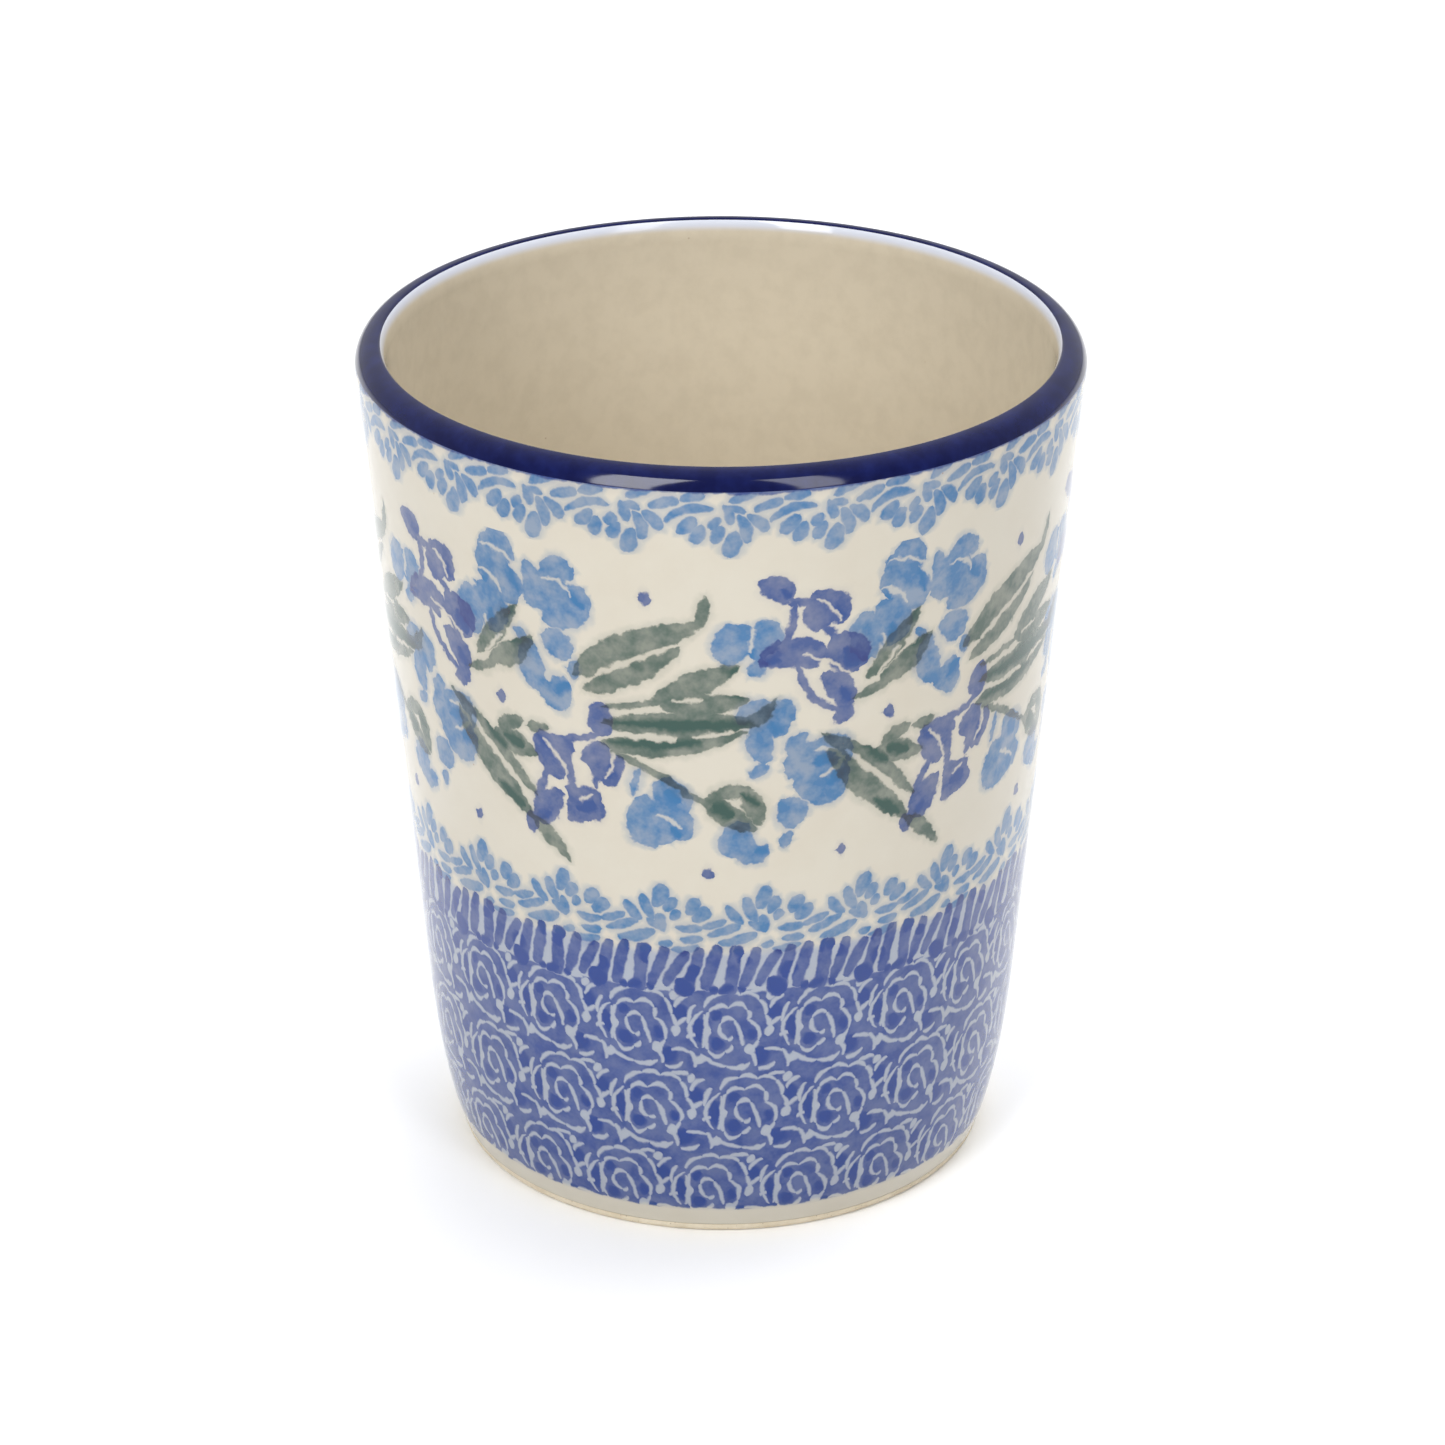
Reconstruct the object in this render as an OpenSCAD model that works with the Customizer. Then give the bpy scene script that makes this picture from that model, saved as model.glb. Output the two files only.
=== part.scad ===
// Handleless stoneware mug, a tapered tumbler with a glazed, hand-stamped wall.
// The fired clay is one solid. Each fired-on coat lies over it as a thin solid of its own,
// one above the other on the outside, so that every coat can be recoloured by itself.
// Millimetres, +Z up, origin at the centre of the foot on the table.

/* [Cup] */
// Largest outside diameter, at the lip
rim_d = 80; // [60:1:110]
// Height over the lip
height = 95.5; // [70:0.5:150]
// Outside diameter of the foot where it meets the table
foot_d = 58; // [44:1:66]
// Lean of the straight wall from upright, in degrees
wall_lean = 5; // [2:0.5:6]
// Height over which the wall bows in towards the foot
bow_h = 20; // [8:1:30]

/* [Wall] */
// Clay and glaze together, measured across the straight wall
wall_t = 3.4; // [2.6:0.1:5]
// Clay and glaze together, through the middle of the floor
floor_t = 5.5; // [4.5:0.5:9]
// Radius of the inside corner between wall and floor
well_r = 9; // [4:1:14]
// Radius of the lip's outer edge, up to 0.72 of the wall
lip_outer_r = 2.4; // [0.8:0.1:3.2]
// Width over which the inside rounds over into the lip, up to what the outer edge leaves of the wall
lip_inner_w = 0.9; // [0.6:0.1:2.4]
// Height over which the inside rounds over into the lip
lip_inner_h = 3; // [1:0.1:6]

/* [Foot] */
// Width of the bare ring that the mug stands on
foot_ring_w = 3.5; // [2:0.5:6]
// Depth of the glazed recess inside the ring
recess_h = 1.6; // [0.8:0.1:2.5]
// Radius of the sponged outer edge of the foot
foot_edge_r = 0.8; // [0.3:0.1:1.5]

/* [Coats] */
// Thickness of the fired glaze
glaze_t = 0.3; // [0.2:0.05:0.5]
// Depth of the cobalt band below the top of the lip, outside
rim_band_h = 1.85; // [1:0.05:6]
// Height of the upper garland of light blue stamps
upper_garland_h = 7.7; // [4:0.1:14]
// Height of the iris frieze
iris_band_h = 39; // [25:0.5:50]
// Height of the lower garland
lower_garland_h = 8.5; // [4:0.1:14]
// Height of the row of upright cobalt strokes
stripe_band_h = 5; // [3:0.1:8]
// Height of the plain glazed strip above the foot
plain_band_h = 2.3; // [1:0.1:4]
// Bare clay left below the glaze at the foot
bare_h = 1; // [0.6:0.1:2]
// How far the cobalt turns in past the top of the lip, in degrees
rim_turn = 20; // [4:1:60]

/* [Hidden] */
$fn = 180;

cream = "#e3dccb";
clay = "#d2c3a6";
cobalt = "#23295f";
indigo = "#46549b";
sky = "#6ba4d6";

wall_step = 1; // longest straight stretch where the wall bows
lip_step = 0.3; // longest rise of a stretch where a coat ends on the lip's arc
arc_steps = 10; // straight stretches in each rounded edge
turn_steps = 3; // straight stretches where the cobalt turns in

// The lip is an arc outside and part of an oval inside. The arc leaves the wall where both lean alike.
lip_flat = 0.1; // least width left between the two
outer_r = min(lip_outer_r, 0.72 * wall_t);
inner_w = min(lip_inner_w, wall_t - outer_r - lip_flat);
lip_outer_x = rim_d / 2 - outer_r;
lip_outer_z = height - outer_r;
lip_inner_x = rim_d / 2 - wall_t + inner_w;
lip_inner_z = height - lip_inner_h;
lip_join_x = lip_outer_x + outer_r * cos(wall_lean);
lip_join_z = lip_outer_z - outer_r * sin(wall_lean);

// The sponged edge stays below the glaze. The recess's side slopes at 45 degrees.
edge_r = min(foot_edge_r, 0.9 * bare_h);
ring_inner_r = foot_d / 2 - foot_ring_w;
recess_r = ring_inner_r - recess_h;

// Heights where one coat ends and the next begins, from the top down
z_rim = height - rim_band_h;
z_upper = z_rim - upper_garland_h;
z_iris = z_upper - iris_band_h;
z_lower = z_iris - lower_garland_h;
z_stripe = z_lower - stripe_band_h;
z_plain = bare_h + plain_band_h;
coat_edges = [bare_h, z_plain, z_stripe, z_lower, z_iris, z_upper, z_rim, max(z_rim, lip_join_z)];

well_x = inner_straight(floor_t + well_r) - well_r;

// Outer radius at height z, deep under the finished surface, on the lip's arc or on the wall
function straight(z) = lip_join_x - (lip_join_z - z) * tan(wall_lean);
function bow(z) = z >= bow_h ? 0
    : (straight(0) - foot_d / 2) * (1 - sqrt(1 - pow(1 - z / bow_h, 2)));
function outer(z, deep = 0) = z > lip_join_z
    ? lip_outer_x + sqrt(pow(outer_r - deep, 2) - pow(z - lip_outer_z, 2))
    : straight(z) - bow(z) - deep;
// Radius of the finished inside wall
function inner_straight(z) = rim_d / 2 - wall_t - (lip_inner_z - z) * tan(wall_lean);

// In the outlines below, deep is the depth under the finished surface: 0 or glaze_t.
// Points up the outside from z0 to just below z1, in short steps where the wall bows and on the lip
function stretch(z0, z1, deep) =
    let (bow_top = min(z1, max(z0, bow_h)), n = ceil((bow_top - z0) / wall_step),
        lip_foot = max(z0, lip_join_z), m = z1 > lip_foot ? ceil((z1 - lip_foot) / lip_step) : 0)
    concat([for (i = [0:1:n - 1]) let (z = z0 + (bow_top - z0) * i / n) [outer(z, deep), z]],
        bow_top < min(z1, lip_join_z) ? [[outer(bow_top, deep), bow_top]] : [],
        [for (i = [0:1:m - 1]) let (z = lip_foot + (z1 - lip_foot) * i / m) [outer(z, deep), z]]);
// The same stretch with its top point
function outer_wall(z0, z1, deep) = concat(stretch(z0, z1, deep), [[outer(z1, deep), z1]]);
// Angle on the lip's outer arc where the cobalt starts, or where the wall ends if that is higher
function lip_start(deep) = z_rim > lip_join_z ? asin((z_rim - lip_outer_z) / (outer_r - deep)) : -wall_lean;
// Points round an arc from angle a0 to a1, in n stretches
function arc(x, z, r, a0, a1, n = arc_steps) = oval(x, z, r, r, a0, a1, n);
function oval(x, z, rx, rz, a0, a1, n) =
    [for (i = [0:n]) let (a = a0 + (a1 - a0) * i / n) [x + rx * cos(a), z + rz * sin(a)]];
// Points on the inside of the lip
function lip_inside(deep, a0, a1, n) =
    oval(lip_inner_x, lip_inner_z, inner_w - deep, lip_inner_h - deep, a0, a1, n);
// Points over the lip, from the outer wall to where the cobalt ends
function lip(deep) = concat(
    arc(lip_outer_x, lip_outer_z, outer_r - deep, lip_start(deep), 90),
    lip_inside(deep, 90, 90 + rim_turn, turn_steps));
// Points from there down the inside wall and across the floor to the axis
function inner_wall(deep) = concat(
    lip_inside(deep, 90 + rim_turn, 180, arc_steps),
    arc(well_x, floor_t + well_r, well_r + deep, 0, -90),
    [[0, floor_t - deep]]);
function reversed(points) = [for (i = [len(points) - 1:-1:0]) points[i]];
function after_first(points) = [for (i = [1:len(points) - 1]) points[i]];

// A coat is the skin between the clay and the finished surface from z0 to z1
module coat(z0, z1) {
    rotate_extrude()
        polygon(concat(outer_wall(z0, z1, 0), reversed(outer_wall(z0, z1, glaze_t))));
}

module stoneware_body() {
    edge_x = outer(bare_h) - edge_r;
    color(clay) rotate_extrude() polygon(concat(
        [[0, recess_h + glaze_t], [recess_r, recess_h + glaze_t], [ring_inner_r, 0]],
        arc(edge_x, edge_r, edge_r, -90, 0),
        [[outer(bare_h), bare_h]],
        // The clay takes the coats' own steps, so that they meet it face to face
        [for (i = [1:len(coat_edges) - 1]) each stretch(coat_edges[i - 1], coat_edges[i], glaze_t)],
        lip(glaze_t),
        after_first(inner_wall(glaze_t))));
}

module rim_band() {
    color(cobalt) rotate_extrude() polygon(concat(
        stretch(z_rim, max(z_rim, lip_join_z), 0), lip(0),
        reversed(concat(stretch(z_rim, max(z_rim, lip_join_z), glaze_t), lip(glaze_t)))));
}

module upper_garland_band() { color(sky) coat(z_upper, z_rim); }
module iris_band() { color(cream) coat(z_iris, z_upper); }
module lower_garland_band() { color(sky) coat(z_lower, z_iris); }
module stripe_band() { color(indigo) coat(z_stripe, z_lower); }
module rose_band() { color(indigo) coat(z_plain, z_stripe); }
module plain_band() { color(cream) coat(bare_h, z_plain); }

module interior_glaze() {
    color(cream) rotate_extrude() polygon(concat(inner_wall(0), reversed(inner_wall(glaze_t))));
}

module underside_glaze() {
    color(cream) translate([0, 0, recess_h]) cylinder(h = glaze_t, r = recess_r);
}

stoneware_body();
rim_band();
upper_garland_band();
iris_band();
lower_garland_band();
stripe_band();
rose_band();
plain_band();
interior_glaze();
underside_glaze();
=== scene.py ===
import math
import bpy
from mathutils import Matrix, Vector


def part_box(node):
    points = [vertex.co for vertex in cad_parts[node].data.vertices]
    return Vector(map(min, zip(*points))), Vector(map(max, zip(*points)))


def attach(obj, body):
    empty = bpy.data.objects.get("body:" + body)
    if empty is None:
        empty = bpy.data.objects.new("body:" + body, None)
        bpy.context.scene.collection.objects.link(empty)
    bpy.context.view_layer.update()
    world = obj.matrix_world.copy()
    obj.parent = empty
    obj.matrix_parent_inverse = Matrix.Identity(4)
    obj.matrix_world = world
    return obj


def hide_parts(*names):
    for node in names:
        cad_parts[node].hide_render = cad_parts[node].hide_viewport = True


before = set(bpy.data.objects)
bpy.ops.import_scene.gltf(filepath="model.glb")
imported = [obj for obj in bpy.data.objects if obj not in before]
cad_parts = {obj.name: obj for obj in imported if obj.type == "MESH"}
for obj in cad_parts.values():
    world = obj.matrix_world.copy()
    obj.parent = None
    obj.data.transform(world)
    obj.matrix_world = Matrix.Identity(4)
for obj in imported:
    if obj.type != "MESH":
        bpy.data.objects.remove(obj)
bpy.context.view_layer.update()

mm = 0.001


def linear(hexColour):
    # an sRGB hex colour as the linear one that shaders take
    parts = [int(hexColour[i:i + 2], 16) / 255 for i in (1, 3, 5)]
    return (*[c / 12.92 if c <= 0.04045 else ((c + 0.055) / 1.055) ** 2.4 for c in parts], 1)


def wire(tree, kind, *values, named=None, **settings):
    # adds one node: its settings, then its inputs in order or by name, each a value, a node or a socket
    made = tree.nodes.new("ShaderNode" + kind)
    for key, value in settings.items():
        setattr(made, key, value)
    shown = [socket for socket in made.inputs if socket.enabled]
    asked = list(zip(shown, values)) + [(made.inputs[key], value) for key, value in (named or {}).items()]
    for socket, value in asked:
        if isinstance(value, bpy.types.Node):
            value = next(out for out in value.outputs if out.enabled)
        if isinstance(value, bpy.types.NodeSocket):
            tree.links.new(value, socket)
        elif value is not None:
            socket.default_value = value
    return made


# ---- shape: the cup's outline, in metres, from the frame's own boxes
rimLow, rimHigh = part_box("rim_band")
upperLow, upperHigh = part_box("upper_garland_band")
irisLow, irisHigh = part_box("iris_band")
lowerLow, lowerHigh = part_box("lower_garland_band")
stripeLow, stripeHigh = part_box("stripe_band")
roseLow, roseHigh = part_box("rose_band")
plainLow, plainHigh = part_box("plain_band")
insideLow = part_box("interior_glaze")[0]
underLow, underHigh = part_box("underside_glaze")

cup = {
    "bowHeight": 20 * mm,     # the wall bows in over this height
    "footRadius": 29 * mm,
    "footRing": 3.5 * mm,     # width of the bare ring
    "footEdge": 0.8 * mm,     # sponged edges of the ring
    "lipOuter": 2.4 * mm,
    "lipInnerWidth": 0.9 * mm,
    "lipInnerHeight": 3 * mm,
    "rimTurn": 20,            # degrees that the cobalt turns in past the top
    "wall": 3.4 * mm,
    "well": 9 * mm,           # corner between wall and floor
    "glaze": 0.3 * mm,
    "glazeBead": 0.25 * mm,   # rounded lower edge where the glaze was wiped off
    "spinSteps": 288,
    "arcSteps": 10,
    "bowSteps": 18,
}

rimRadius = rimHigh.x
height = rimHigh.z
lean = (irisHigh.x - lowerHigh.x) / (irisHigh.z - lowerHigh.z)
leanAngle = math.atan(lean)
lipOuterX, lipOuterZ = rimRadius - cup["lipOuter"], height - cup["lipOuter"]
lipInnerX, lipInnerZ = rimRadius - cup["wall"] + cup["lipInnerWidth"], height - cup["lipInnerHeight"]
joinZ = lipOuterZ - cup["lipOuter"] * math.sin(leanAngle)
joinX = lipOuterX + cup["lipOuter"] * math.cos(leanAngle)
floorZ = insideLow.z + cup["glaze"]


def outerRadius(z, deep=0):
    if z > joinZ:
        return lipOuterX + math.sqrt((cup["lipOuter"] - deep) ** 2 - (z - lipOuterZ) ** 2)
    straight = joinX - (joinZ - z) * lean - deep
    if z >= cup["bowHeight"]:
        return straight
    bow = joinX - joinZ * lean - cup["footRadius"]
    return straight - bow * (1 - math.sqrt(1 - (1 - z / cup["bowHeight"]) ** 2))


def innerRadius(z):
    return rimRadius - cup["wall"] - (lipInnerZ - z) * lean


def wallPoints(z0, z1, deep):
    # up the outside from z0 to z1, deep below the surface, in steps where it bows and on the lip
    bowTop = min(z1, max(z0, cup["bowHeight"]))
    steps = math.ceil((bowTop - z0) / cup["bowHeight"] * cup["bowSteps"])
    heights = [z0 + (bowTop - z0) * i / steps for i in range(steps)] if steps else []
    heights += [bowTop] if bowTop < min(z1, joinZ) else []
    heights += [joinZ, (joinZ + z1) / 2] if z1 > joinZ else []
    return [(outerRadius(z, deep), z) for z in heights + [z1]]


def arcPoints(x, z, radius, start, end, tall=None, steps=None):
    # round an arc, or round an oval of another height
    steps = steps or cup["arcSteps"]
    turns = [math.radians(start + (end - start) * i / steps) for i in range(steps + 1)]
    return [(x + radius * math.cos(a), z + (tall or radius) * math.sin(a)) for a in turns]


def insideLip(deep, start, end, steps):
    width, tall = cup["lipInnerWidth"] - deep, cup["lipInnerHeight"] - deep
    return arcPoints(lipInnerX, lipInnerZ, width, start, end, tall, steps)


def lipPoints(deep):
    # over the lip, from the cobalt's lower edge to where it ends just past the top
    radius = cup["lipOuter"] - deep
    start = math.degrees(math.asin((rimLow.z - lipOuterZ) / radius))
    outer = arcPoints(lipOuterX, lipOuterZ, radius, start, 90)
    return outer + insideLip(deep, 90, 90 + cup["rimTurn"], 3)


def insidePoints(deep):
    # from there down the inside wall, round the well and across the floor
    lip = insideLip(deep, 90 + cup["rimTurn"], 180, 16)
    wellZ = floorZ + cup["well"]
    well = arcPoints(innerRadius(wellZ) - cup["well"], wellZ, cup["well"] + deep, 0, -90)
    floor = [(well[-1][0] * share, floorZ - deep) for share in (0.66, 0.33, 0)]
    return lip + well + floor


def throwShape(name, outline):
    # a vertex is drawn out along the outline, then spun round the mug's axis, as on a wheel
    bpy.ops.object.select_all(action="DESELECT")
    bpy.ops.mesh.primitive_plane_add(size=mm, location=(0, 0, 0))
    piece = bpy.context.object
    piece.name = name
    bpy.ops.object.mode_set(mode="EDIT")
    bpy.ops.mesh.select_all(action="SELECT")
    bpy.ops.mesh.merge(type="CENTER")
    if outline[0][0] > 0:
        outline = outline + [outline[0]]
    last = (0, 0)
    for index, (x, z) in enumerate(outline):
        move = {"value": (x - last[0], 0, z - last[1])}
        if index:
            bpy.ops.mesh.extrude_region_move(TRANSFORM_OT_translate=move)
        else:
            bpy.ops.transform.translate(**move)
        last = (x, z)
    bpy.ops.mesh.select_all(action="SELECT")
    bpy.ops.mesh.remove_doubles(threshold=0.001 * mm)
    bpy.ops.mesh.select_all(action="SELECT")
    bpy.ops.mesh.spin(steps=cup["spinSteps"], angle=math.tau, center=(0, 0, 0), axis=(0, 0, 1))
    bpy.ops.mesh.select_all(action="SELECT")
    bpy.ops.mesh.remove_doubles(threshold=0.001 * mm)
    bpy.ops.mesh.normals_make_consistent(inside=False)
    bpy.ops.object.mode_set(mode="OBJECT")
    bpy.ops.object.shade_smooth_by_angle(angle=math.radians(35))
    return piece


wallMap = {
    "walls": 0.92,        # share of the map's height that the strips take
    "between": 0.02,      # bare edge of each strip
    "ends": 0.01,
    "inner": (0.93, 0.02),    # where the hidden faces start, and how tall they are
    "upper": (0.96, 0.01),
    "lower": (0.98, 0.01),
}


def unroll(piece, strips):
    # a map of the outer wall in stacked strips, so that a picture of the stamps baked onto it stays sharp;
    # the hidden faces lie in three thin strips above them
    layer = piece.data.uv_layers.new(name="OFBake")
    spots = [vertex.co for vertex in piece.data.vertices]
    low, high = min(spot.z for spot in spots), max(spot.z for spot in spots)
    wide = max(math.hypot(spot.x, spot.y) for spot in spots)
    for face in piece.data.polygons:
        turn = math.atan2(face.center.y, face.center.x) / math.tau % 1
        radius = math.hypot(face.center.x, face.center.y)
        outward = (face.normal.x * face.center.x + face.normal.y * face.center.y) / radius
        for loop in face.loop_indices:
            spot = spots[piece.data.loops[loop].vertex_index]
            here = math.atan2(spot.y, spot.x) / math.tau
            here += round(turn - here)
            rise = (spot.z - low) / (high - low)
            depth = (wide - math.hypot(spot.x, spot.y)) / (wide - 0.8 * radius)
            if outward > 0.5:
                strip = int(turn * strips)
                end, between = wallMap["ends"], wallMap["between"]
                across = end + (1 - 2 * end) * (here * strips - strip)
                up = strip + between + (1 - 2 * between) * rise
                place = (across, wallMap["walls"] * up / strips)
            elif outward < -0.5:
                start, tall = wallMap["inner"]
                place = (here, start + tall * rise)
            else:
                start, tall = wallMap["upper"] if face.normal.z > 0 else wallMap["lower"]
                place = (here, start + tall * depth)
            layer.data[loop].uv = place
    return piece


def coatOutline(z0, z1):
    return wallPoints(z0, z1, 0) + wallPoints(z0, z1, cup["glaze"])[::-1]


def plainOutline():
    # the lowest strip ends in a rounded bead of glaze
    bead = cup["glazeBead"]
    foot = plainLow.z
    edge = arcPoints(outerRadius(foot + bead) - bead, foot + bead, bead, -90, 0)
    outside = wallPoints(foot + bead, plainHigh.z, 0)[1:]
    return edge + outside + wallPoints(foot, plainHigh.z, cup["glaze"])[::-1]


def bodyOutline():
    glaze, edge = cup["glaze"], cup["footEdge"]
    ringInner = cup["footRadius"] - cup["footRing"]
    recess = [(0, underHigh.z), (underHigh.x, underHigh.z)]
    inner = arcPoints(ringInner + edge, edge, edge, 215, 270)
    outer = arcPoints(outerRadius(plainLow.z) - edge, edge, edge, -90, 0)
    wall = wallPoints(plainLow.z, plainHigh.z, glaze) + wallPoints(plainHigh.z, rimLow.z, glaze)[1:-1]
    return (recess + inner + outer + [(outerRadius(plainLow.z), plainLow.z)] + wall
            + lipPoints(glaze) + insidePoints(glaze)[1:])


rimOutline = lipPoints(0) + lipPoints(cup["glaze"])[::-1]
insideOutline = insidePoints(0)[::-1] + insidePoints(cup["glaze"])
underOutline = [(0, underHigh.z), (underHigh.x, underHigh.z), (underHigh.x, underLow.z), (0, underLow.z)]
print("outlines ready")


# ---- decoration: millimetres on the wall as if unrolled, across from the front at this radius, and up
unrollRadius = 37
around = math.tau * unrollRadius

stampLine = 0.9    # the stamps' heights are written from a line this far above the table

inks = {
    "sky": {"colour": "#2c88dc", "edge": 0.2, "grow": 0.13,
            "thin": 0.66, "full": 0.95, "bleedShare": 0.28},
    "cobalt": {"colour": "#1a54b8", "edge": 0.16, "grow": 0.08,
               "thin": 0.78, "full": 0.95, "bleedShare": 0.08},
    "leaf": {"colour": "#255c58", "edge": 0.18, "grow": 0.1,
             "thin": 0.68, "full": 0.92, "bleedShare": 0.16},
    "deep": 0.85,     # softness of the pools of pigment, mm
    "bleed": 1.0,     # how far pigment bleeds into the glaze, mm
}
brushes = {
    "petal": {"belly": 0.15, "tip": 0.5},
    "blade": {"belly": -0.15, "tip": 0.75},
    "line": {"belly": 0.0, "tip": 0.22},
}


def makeBrushStroke():
    # signed distance, mm, to one stroke: a bent spindle from -1 to 1 along its length
    group = bpy.data.node_groups.new("brushStroke", "ShaderNodeTree")
    for name in ("Flat", "Lengthwise", "Sideways"):
        group.interface.new_socket(name, in_out="INPUT", socket_type="NodeSocketVector")
    for name in ("Half width", "Bend", "Belly", "Tip", "Quarter length"):
        group.interface.new_socket(name, in_out="INPUT", socket_type="NodeSocketFloat")
    group.interface.new_socket("Distance", in_out="OUTPUT", socket_type="NodeSocketFloat")
    given = group.nodes.new("NodeGroupInput").outputs
    along = wire(group, "VectorMath", given["Flat"], given["Lengthwise"], operation="DOT_PRODUCT")
    aside = wire(group, "VectorMath", given["Flat"], given["Sideways"], operation="DOT_PRODUCT")
    square = wire(group, "Math", along, along, operation="MULTIPLY")
    spare = wire(group, "Math", 1, square, operation="SUBTRACT")
    inside = wire(group, "Math", spare, 0, operation="MAXIMUM")
    spindle = wire(group, "Math", inside, given["Tip"], operation="POWER")
    belly = wire(group, "Math", along, given["Belly"], 1, operation="MULTIPLY_ADD")
    width = wire(group, "Math", spindle, belly, operation="MULTIPLY")
    width = wire(group, "Math", width, given["Half width"], operation="MULTIPLY")
    bent = wire(group, "Math", inside, given["Bend"], operation="MULTIPLY")
    bent = wire(group, "Math", aside, bent, operation="SUBTRACT")
    bent = wire(group, "Math", bent, operation="ABSOLUTE")
    side = wire(group, "Math", bent, width, operation="SUBTRACT")
    past = wire(group, "Math", inside, spare, operation="SUBTRACT")
    distance = wire(group, "Math", past, given["Quarter length"], side, operation="MULTIPLY_ADD")
    group.links.new(distance.outputs[0], group.nodes.new("NodeGroupOutput").inputs["Distance"])
    return group


brushStroke = makeBrushStroke()


def repeats(tree, flat, period, last=None):
    # copies of the flat wall in which a motif repeats: (centre, node), the cells cut half a cell away.
    # With last, the motif stops after that many on each side of the front.
    across, up, _ = wire(tree, "SeparateXYZ", flat).outputs
    shares = (-0.33, 0, 0.33) if last is not None else (0, 0.5)
    made = []
    for share in shares:
        centre = share * period
        if last is None:
            local = wire(tree, "Math", across, centre + period / 2, centre - period / 2, operation="WRAP")
        else:
            cell = wire(tree, "Math", across, 1 / period, -share, operation="MULTIPLY_ADD")
            cell = wire(tree, "Math", cell, operation="ROUND")
            cell = wire(tree, "Clamp", cell, -last, last)
            local = wire(tree, "Math", cell, -period, across, operation="MULTIPLY_ADD")
        made.append((centre, wire(tree, "CombineXYZ", local, up, 1)))
    return made, period


def draw(tree, cells, strokes, kind, swell=1, join=0):
    # the distance to the nearest of many strokes: (from across, from up, to across, to up, width, bend)
    homes, period = cells
    brush = brushes[kind]
    nearest = None
    for x0, z0, x1, z1, width, bend in strokes:
        middle, length = (x0 + x1) / 2, math.hypot(x1 - x0, z1 - z0)
        offsets = [middle + period * round((centre - middle) / period) - centre for centre, _ in homes]
        best = min(range(len(homes)), key=lambda i: abs(offsets[i]))
        spot = (homes[best][0] + offsets[best], (z0 + z1) / 2)
        dx, dz = (x1 - x0) / length, (z1 - z0) / length
        group = tree.nodes.new("ShaderNodeGroup")
        group.node_tree = brushStroke
        tree.links.new(homes[best][1].outputs[0], group.inputs["Flat"])
        # the flat wall's third part is 1, so one dot product both moves and turns it
        reach = 2 / length
        back = -(spot[0] * dx + spot[1] * dz)
        group.inputs["Lengthwise"].default_value = (dx * reach, dz * reach, back * reach)
        group.inputs["Sideways"].default_value = (-dz, dx, spot[0] * dz - spot[1] * dx)
        group.inputs["Half width"].default_value = swell * width / 2
        group.inputs["Bend"].default_value = bend
        group.inputs["Belly"].default_value = brush["belly"]
        group.inputs["Tip"].default_value = brush["tip"]
        group.inputs["Quarter length"].default_value = length / 4
        if nearest is not None:
            group = wire(tree, "Math", nearest, group, join, operation="SMOOTH_MIN")
        nearest = group
    return nearest


def soft(tree, distance, edge, inner=None):
    inner = -edge if inner is None else inner
    return wire(tree, "MapRange", distance, edge, inner, 0, 1, interpolation_type="SMOOTHSTEP")


def stamp(tree, ground, tone, ink, shape, deep=None, veins=None):
    # lays one ink on the ground: thin or full with the tone, fuller in pools, missing on the veins
    recipe = inks[ink]
    shape = wire(tree, "Math", shape, recipe["grow"], operation="SUBTRACT")
    mask = soft(tree, shape, recipe["edge"])
    density = wire(tree, "MapRange", tone, 0.35, 0.65, recipe["thin"], recipe["full"])
    if deep is not None:
        pool = soft(tree, deep, inks["deep"] / 2)
        density = wire(tree, "Mix", pool, density, 1.0, data_type="FLOAT")
    amount = wire(tree, "Math", mask, density, operation="MULTIPLY")
    if veins is not None:
        vein = soft(tree, veins, recipe["edge"])
        keep = wire(tree, "Math", vein, -0.8, 1, operation="MULTIPLY_ADD")
        amount = wire(tree, "Math", amount, keep, operation="MULTIPLY")
    bleed = soft(tree, shape, inks["bleed"], 0)
    bleed = wire(tree, "Math", bleed, recipe["bleedShare"], operation="MULTIPLY")
    amount = wire(tree, "Math", amount, bleed, operation="MAXIMUM")
    return wire(tree, "Mix", amount, ground, linear(recipe["colour"]), data_type="RGBA",
                blend_type="MULTIPLY")


glaze = {
    "cream": "#c2bcae",        # buff stoneware seen through clear glaze
    "creamDull": "#bfb8a9",
    "inside": "#d6ccb8",       # painted light: the same glaze as outside, drawn lighter and warmer to stand in for light bouncing inside the cup
    # its duller patches, lightened and warmed the same way as painted bounce light
    "insideDullPaintedLight": "#d1c7b3",
    "halo": "#d8e0f4",         # where the rim's cobalt runs into the clear glaze inside
    "speck": "#8a5a3c",
    "mottle": 0.12,            # patches a centimetre or so across, per mm
    "speckCell": 0.3,          # one chance of an iron speck in every 3 mm
    "speckSize": 0.15,
    "roughness": 0.09,
    "wave": 0.16,              # slow waves in the glaze, per mm
    "waveHeight": 0.03 * mm,
    "wander": 0.22,            # how the hand wandered, per mm
    "wanderReach": 0.75,
    "ragged": 1.0,             # and how the stamp's edge frayed, per mm
    "raggedReach": 0.52,
    "haloFrom": 1.5 * mm,      # the halo fades in between these depths below the top
    "haloTo": 0.6 * mm,
    "haloShare": 0.8,
}


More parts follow.
